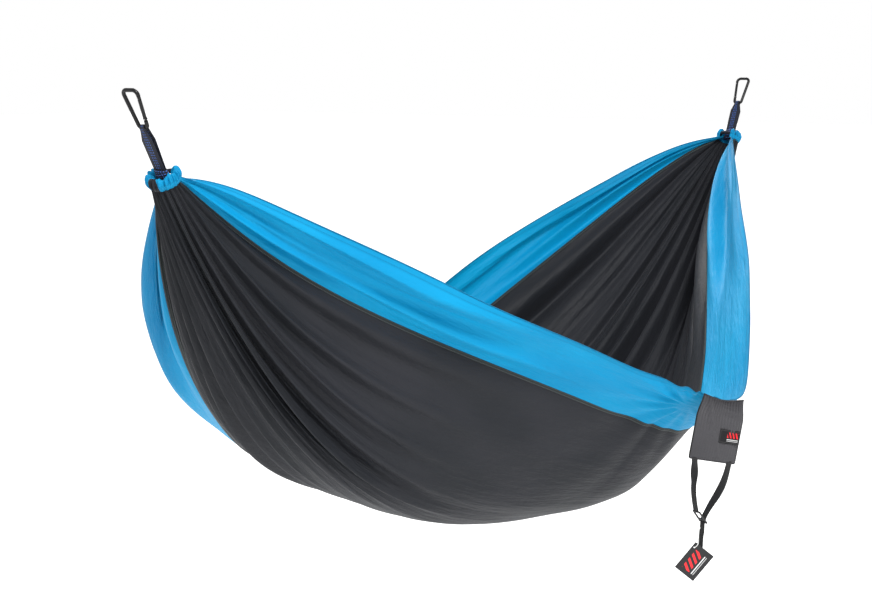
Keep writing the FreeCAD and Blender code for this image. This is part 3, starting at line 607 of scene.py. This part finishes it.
# ------------------------------------------------------------------ hammock cloth
def sheet_piece(obj, material, node):
    dress(obj, material)
    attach(obj, "hammock")
    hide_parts(node)


near_cloth = panel("near side cloth", -1, -SEAM_AT)
centre_cloth = panel("centre cloth", -SEAM_AT, SEAM_AT)
far_cloth = panel("far side cloth", SEAM_AT, 1)
sheet_piece(near_cloth, blue_cloth, "near_side_panel")
sheet_piece(centre_cloth, grey_cloth, "centre_panel")
sheet_piece(far_cloth, blue_cloth, "far_side_panel")

for word, at in (("near", -SEAM_AT), ("far", SEAM_AT)):
    for face, lift in (("outer", 1.3 * MM), ("inner", -1.3 * MM)):
        tape = band_along("%s seam %s" % (word, face), at, 4.4 * MM, lift)
        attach(dress(tape, seam_tape), "hammock")
for word, at in (("near", 0), ("far", -1)):
    rim = tube_along("%s rim hem" % word, CLOTH[:, at], 1.1 * MM)
    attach(dress(rim, blue_cloth), "hammock")


# ------------------------------------------------------------------ gathered channels
SLEEVE_SEAM = 0.14      # the side panels' loose sleeves ride round over the centre panel's
RUFFLE_HEIGHT, RUFFLE_BULGE = 12.5 * MM, 6.2 * MM
blue_plain = nylon("blue nylon sleeve", BLUE_DEEP, BLUE_LIGHT, BLUE_GLOW)
grey_plain = nylon("charcoal nylon sleeve", GREY_DEEP, GREY_LIGHT, GREY_GLOW)


def ruffled_channel(side, word):
    """The sewn sleeve bunched on the ring: a closed tube whose pleats carry on those of the cloth."""
    v = np.linspace(-1, 1, 1100)
    loop = np.linspace(0, 2 * math.pi, 44, endpoint=False)[None, :]
    share = np.abs(v)
    strip = np.clip((share - SEAM_AT) / (1 - SEAM_AT), 0, 1)
    panel_share = np.clip(share / SEAM_AT, 0, 1)
    turn = np.radians(SEAM_TURN * panel_share + (RIM_TURN - SEAM_TURN) * strip) * np.sign(v)
    turn = turn[:, None]
    phase = pleat_phase(np.full_like(v, side * 1.0), v)[:, None]
    up = np.sin(loop)
    skew = phase + 0.6 * up + 0.5 * waves(v[:, None] * 20, np.cos(loop), 5, 1.0, 44)
    # pinched by the stitches under the ring, loose and frilled above it
    loose = 0.35 + 0.65 * smoothstep(-0.8, 0.3, up)
    swell = 1 + loose * (0.42 * np.sin(skew) + 0.16 * np.sin(2.3 * skew + 1.0))
    sway = loose * 2.0 * MM * waves(v * 30, v * 0, 5, 1.0, 41 + side)[:, None]
    uneven = 3.2 * MM * waves(v * 26, v * 0 + side, 6, 1.0, 47)[:, None]
    height = RUFFLE_HEIGHT + uneven * smoothstep(0, 1, up)
    out = GATHER + sway + RUFFLE_BULGE * swell * np.cos(loop) + 1.5 * MM * smoothstep(0.2, 1.0, up)
    rise = height * up * (0.85 + 0.15 * swell) - 1.0 * MM
    around = np.broadcast_to(turn, out.shape)
    across = np.sin(around) * out * (1 if side == LEFT else -1)
    local = np.stack([-np.cos(around) * out, across, np.broadcast_to(rise, out.shape)], axis=-1)
    points = placed(sling_frame(side), local)
    uv = np.stack(np.broadcast_arrays(v[:, None] * FLAT_WIDTH / 2, loop * 0.009), axis=-1)
    groups = (("charcoal", share <= SLEEVE_SEAM + 0.002, grey_plain, "cloth_charcoal"),
              ("near", v < -SLEEVE_SEAM + 0.002, blue_plain, "cloth_blue"),
              ("far", v > SLEEVE_SEAM - 0.002, blue_plain, "cloth_blue"))
    for colour, pick, material, slot_name in groups:
        sleeve = grid_mesh("%s channel %s" % (word, colour), points[pick], uv[pick], wrap_columns=True)
        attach(dress(sleeve, material), "hammock")
        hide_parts(word + "_channel")


def sling(side, word):
    """Webbing from the hitch in the ring, round the carabiner's foot and back."""
    place = sling_frame(side)
    across, upward = direction(place, (0, 1, 0)), direction(place, (0, 0, 1))
    low, foot = 10 * MM, 97.5 * MM
    bar = 3.9 * MM + 0.9 * MM      # the carabiner's stock and half the webbing
    heights = np.linspace(low, foot, 60)
    lean = np.interp(heights, [low, foot], [1.6 * MM, bar])
    arc = np.linspace(0, math.pi, 25)[1:-1]
    right_side = np.stack([lean, np.zeros(60), heights], axis=-1)
    top = np.stack([bar * np.cos(arc), np.zeros(23), foot + bar * np.sin(arc)], axis=-1)
    left_side = np.stack([-lean[::-1], np.zeros(60), heights[::-1]], axis=-1)
    path = np.concatenate([right_side, top, left_side])
    width = np.interp(path[:, 2], [low, foot - 24 * MM, foot - 4 * MM, foot + 9 * MM],
                      [SLING_WIDTH, SLING_WIDTH, 11.5 * MM, 10.5 * MM])
    band = webbing_ribbon(word + " sling band", placed(place, path), width, 1.7 * MM, np.zeros(len(path)),
                          across)
    wraps = []
    for i, (height, size, tilt) in enumerate(((12, 9.5, 8), (4.5, 10.5, -9), (-3, 9.0, 5))):
        ring = np.linspace(0, 2 * math.pi, 49)
        loop = np.stack([size * 0.62 * MM * np.cos(ring), (size + 4.0) * MM * np.sin(ring),
                         height * MM + tilt * 0.2 * MM * np.sin(ring)], axis=-1)
        wraps.append(webbing_ribbon("%s hitch wrap %d" % (word, i), placed(place, loop), 10.5 * MM, 2.2 * MM,
                                    np.zeros(len(loop)), upward))
    ring = np.linspace(0, 2 * math.pi, 97)
    loop = np.stack([GATHER * np.cos(ring), GATHER * np.sin(ring), 0 * ring], axis=-1)
    core = tube_along(word + " sling ring", placed(place, loop), 4.2 * MM, sides=12, across=upward)
    for obj in [band, core] + wraps:
        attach(dress(obj, sling_web), "hammock")
        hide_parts(word + "_sling")


for side, word in ((LEFT, "left"), (RIGHT, "right")):
    ruffled_channel(side, word)
    sling(side, word)


# ------------------------------------------------------------------ stuff sack
SACK_W, SACK_H = 0.126, 0.130
MOUTH_PLEATS = 8.5


def sack_outline(s, t):
    """Across and up the flat pouch: its mouth is drawn narrower and dips in the middle."""
    wide = SACK_W / 2 * (0.86 + 0.14 * smoothstep(0.0, 0.35, t))
    dip = 7 * MM * (1 - s ** 2) * (1 - t) ** 3
    return s * wide, -t * SACK_H - dip


def sack_sheet(name, face):
    """One face of the pouch: gathered mouth, soft pleats down from it, flat hem below."""
    s, t = np.meshgrid(np.linspace(-1, 1, 150), np.linspace(0, 1, 130), indexing="ij")
    x, z = sack_outline(s, t)
    puff = (1 - np.abs(s) ** 5) * (1 - t ** 8)
    deep = 5.2 * MM * puff
    pleats = np.sin(2 * math.pi * MOUTH_PLEATS * s + 1.5 * waves(s * 3, t * 2, 5, 1.0, 51) + 0.8 * face)
    deep = deep + 3.6 * MM * pleats * np.exp(-t / 0.26) * (1 - np.abs(s) ** 10)
    deep = deep + 3.4 * MM * waves(s * 5 + t * 2.6, t * 3.4, 7, 1.0, 53 + face) * puff
    # one long crease from the gathered left of the mouth to the middle of the hem
    crease = np.abs((s + 0.75 - 1.0 * t) * 0.9)
    deep = deep + 4.5 * MM * np.exp(-(crease / 0.08) ** 2) * smoothstep(0, 0.15, t) * (1 - t) ** 0.7
    fullness = 1.0 if face > 0 else 0.5    # the back lies flatter, next to the hammock's rim
    y = -face * np.maximum(deep * fullness, 0.4 * MM * (1 - np.abs(s) ** 20))
    points = placed(SACK, np.stack([x, y, z], axis=-1))
    uv = np.stack([s * SACK_W / 2, -t * SACK_H], axis=-1)
    return grid_mesh(name, points, uv)


sack_cloth = nylon("grey sack nylon", (0.043, 0.042, 0.046), (0.057, 0.056, 0.061), (0.06, 0.06, 0.065))
sack_front = sack_sheet("sack front", 1)
sack_back = sack_sheet("sack back", -1)
for obj in (sack_front, sack_back):
    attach(dress(obj, sack_cloth), "sack")
    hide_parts("sack_body")


def sack_line(s, t):
    """Points between the pouch's two faces, for the trims on its edges."""
    x, z = sack_outline(s, t)
    return placed(SACK, np.stack([x, 0 * x, z], axis=-1))


down = np.linspace(0, 1, 60)
level = np.linspace(-1, 1, 60)
closing = np.sqrt(1 - level ** 24) + 0.03      # the trims' ends are drawn shut
TRIMS = (("sack binding left", sack_line(-np.ones(60), down), 1.5 * MM, strap_web),
         ("sack binding right", sack_line(np.ones(60), down), 1.1 * MM, sack_cloth),
         ("sack hem", sack_line(level, np.ones(60)), 1.3 * MM, sack_cloth))
for name, line, radius, material in TRIMS:
    trim = tube_along(name, line, radius * closing, across=hang_normal)
    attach(dress(trim, material), "sack")
mouth_s = np.linspace(-1, 1, 200)
for face in (1, -1):
    ripple = face * (2.2 + 2.0 * np.sin(2 * math.pi * MOUTH_PLEATS * mouth_s)) * MM
    ripple = ripple * (1 - np.abs(mouth_s) ** 8)
    frill = sack_line(mouth_s, np.zeros(200)) - direction(SACK, (0, 1, 0)) * ripple[:, None]
    roll = tube_along("sack mouth roll %d" % face, frill, 1.7 * MM, across=hang_normal)
    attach(dress(roll, sack_cloth), "sack")
    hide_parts("mouth_elastic")


def label_look():
    """Woven patch with a plain generic device: slanted red bars over two light rules."""
    look = Look("sack label")
    uv = look.add("UVMap", uv_map="cloth").outputs[0]
    split = look.add("SeparateXYZ", {0: uv})
    x, y = split.outputs[0], split.outputs[1]
    broad = band_mask(look, x, 0.008, 0.0155, 0.0004)
    slant = look.wave(look.plus(x, look.times(y, 0.5)), 0.009)
    box = look.times(broad, band_mask(look, y, 0.0035, 0.0055, 0.0004))
    bars = look.times(look.ramp(slant, -0.1, 0.1), box)
    upper_rule = band_mask(look, y, -0.0055, 0.0007, 0.0003)
    lower_rule = band_mask(look, y, -0.0085, 0.0005, 0.0003)
    rules = look.times(broad, look.plus(upper_rule, look.times(lower_rule, 0.8)))
    past_side = look.maths("SUBTRACT", look.maths("ABSOLUTE", x), 0.0258)
    past_top = look.maths("SUBTRACT", look.maths("ABSOLUTE", y), 0.0118)
    stitch = band_mask(look, look.maths("MAXIMUM", past_side, past_top), 0.0, 0.0003, 0.0003)
    weave = look.times(look.wave(x, 0.0006), look.wave(y, 0.0006))
    tone = look.blend(bars, (0.008, 0.008, 0.009), (0.55, 0.015, 0.02))
    tone = look.blend(rules, tone, (0.42, 0.42, 0.42))
    tone = look.blend(look.times(stitch, 0.5), tone, (0.06, 0.06, 0.06))
    shader = look.add("BsdfPrincipled", {"Base Color": tone, "Roughness": 0.7, "Specular IOR Level": 0.15,
                                         "Normal": look.bump(weave, 0.0001, 0.5)})
    return look.finish(shader.outputs[0])


def label_patch():
    """The patch, domed a little and with its edges pressed back to the sack."""
    a, b = np.meshgrid(np.linspace(-1, 1, 25), np.linspace(-1, 1, 13), indexing="ij")
    half_w, half_h = 28 * MM, 14 * MM
    x, z = 29 * MM + a * half_w, -77 * MM + b * half_h
    y = -7.2 * MM - 0.5 * MM * (1 - a ** 2) + 0.25 * MM * np.maximum(np.abs(a), np.abs(b)) ** 12
    uv = np.stack([a * half_w, b * half_h], axis=-1)
    return grid_mesh("label patch", placed(SACK, np.stack([x, y, z], axis=-1)), uv)


label = label_patch()
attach(dress(label, label_look()), "sack")
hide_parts("sack_label")

# ------------------------------------------------------------------ strap, tag and CAD pieces
TAB = 7 * MM            # the sewn end of each strap, inside the sack's hem
for word, path, twist in (("left", left_path, LEFT_TWIST), ("right", right_path, RIGHT_TWIST)):
    away = (path[0] - path[1]) / np.linalg.norm(path[0] - path[1])
    tab_path = path[0] + away * np.linspace(0.0, TAB, 9)[:, None]
    turns = np.full(9, strap_turns(path, twist)[0])
    tab = webbing_ribbon("strap tab " + word, tab_path, STRAP_WIDTH, STRAP_THICK, turns, hang_normal)
    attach(dress(tab, strap_web), "strap")

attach(dress(strap_left, strap_web), "strap")
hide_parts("strap_left")
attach(dress(strap_right, strap_web), "strap")
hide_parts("strap_right")

TAG = HANG @ Matrix.Translation((-0.073, -0.002, -0.297)) @ turn_about("Z", -33.8) @ turn_about("Y", 38.7)
TAG_RING = 6 * MM
ring = np.linspace(0, 2 * math.pi, 65)
hoop = np.stack([0 * ring, TAG_RING * np.cos(ring), TAG_RING + TAG_RING * np.sin(ring)], axis=-1)
tag_hoop = tube_along("tag hoop", placed(TAG, hoop), LINE_RADIUS, sides=10,
                      across=direction(TAG, (1, 0, 0)))
lathe = np.linspace(-1, 1, 25)
bead_line = np.array(in_hang(FASTENER)[1]) + 2.2 * MM * lathe[:, None] * np.array([0.0, 0.0, 1.0])
bead_radius = np.maximum(1.9 * MM * np.sqrt(1 - lathe ** 4), 0.05 * MM)
bead = tube_along("tag bead", bead_line, bead_radius, sides=20, across=hang_normal)
for piece in (tag_line, tag_hoop, bead):
    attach(dress(piece, clear_plastic), "fastener")
    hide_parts("tag_fastener")


def tag_look():
    """Coated card with a plain generic device, drawn in the card's own plane."""
    look = Look("hang tag")
    place = look.add("TexCoord").outputs["Object"]
    inverse = TAG.inverted()
    rows = []
    for i in (0, 2):
        row = look.add("VectorMath", {0: place, 1: tuple(inverse[i][:3])}, operation="DOT_PRODUCT")
        rows.append(row.outputs["Value"])
    x = look.plus(rows[0], inverse[0][3] - 0.0185)
    z = look.plus(rows[1], inverse[2][3] + 0.023)
    tall = band_mask(look, z, -0.001, 0.022, 0.0003)
    slant = look.wave(look.plus(z, look.times(x, 0.6)), 0.012)
    box = look.times(band_mask(look, x, -0.004, 0.009, 0.0003), tall)
    bars = look.times(look.ramp(slant, -0.1, 0.1), box)
    wide_rule = band_mask(look, x, 0.0105, 0.0009, 0.0002)
    thin_rule = band_mask(look, x, 0.0145, 0.0005, 0.0002)
    rules = look.times(tall, look.plus(wide_rule, look.times(thin_rule, 0.8)))
    tone = look.blend(bars, (0.010, 0.010, 0.011), (0.60, 0.015, 0.02))
    tone = look.blend(rules, tone, (0.55, 0.55, 0.55))
    fibre = look.noise(place, 2500.0, 3.0)
    shader = look.add("BsdfPrincipled", {"Base Color": tone, "Roughness": 0.38, "Specular IOR Level": 0.3,
                                         "Normal": look.bump(fibre, 0.00002, 0.4)})
    return look.finish(shader.outputs[0])


dress(nodes["hang_tag"], tag_look())
dress(nodes["strap_slider"], black_plastic)
for word in ("left", "right"):
    dress(nodes[word + "_carabiner_frame"], black_paint)
    dress(nodes[word + "_gate"], black_paint)
    for part in ("gate_rivet", "latch_pin", "gate_plunger", "gate_spring"):
        dress(nodes["%s_%s" % (word, part)], bright_steel)

# ------------------------------------------------------------------ floor and light
def stage_look():
    look = Look("pale stage")
    place = look.add("TexCoord").outputs["Object"]
    tone = look.blend(look.times(look.noise(place, 3.0, 2.0), 0.1), (0.93, 0.93, 0.93), (0.9, 0.9, 0.9))
    shader = look.add("BsdfPrincipled", {"Base Color": tone, "Roughness": 0.9, "Emission Strength": 0.35,
                                         "Emission Color": (1, 1, 1, 1)})
    return look.finish(shader.outputs[0])


bpy.ops.mesh.primitive_plane_add(size=80, location=(1.1, 0, -1.6))
floor = bpy.context.object
floor.name = "floor"
dress(floor, stage_look())

world = bpy.data.worlds.new("studio")
world.use_nodes = True
world.node_tree.nodes["Background"].inputs[0].default_value = (1, 1, 1, 1)
world.node_tree.nodes["Background"].inputs[1].default_value = 1.0
bpy.context.scene.world = world
bpy.context.scene.view_settings.view_transform = "Standard"


def area_light(name, place, aim, size, power):
    data = bpy.data.lights.new(name, "AREA")
    data.shape = "RECTANGLE"
    data.size, data.size_y = size
    data.energy = power
    light = bpy.data.objects.new(name, data)
    light.location = place
    light.rotation_euler = (Vector(aim) - Vector(place)).to_track_quat("-Z", "Y").to_euler()
    bpy.context.scene.collection.objects.link(light)


MIDDLE = (1.1, 0, -0.5)
area_light("key", (-1.2, -2.6, 2.6), MIDDLE, (1.2, 1.2), 260)
area_light("rim", (3.4, 1.8, 1.6), MIDDLE, (1.4, 1.4), 60)
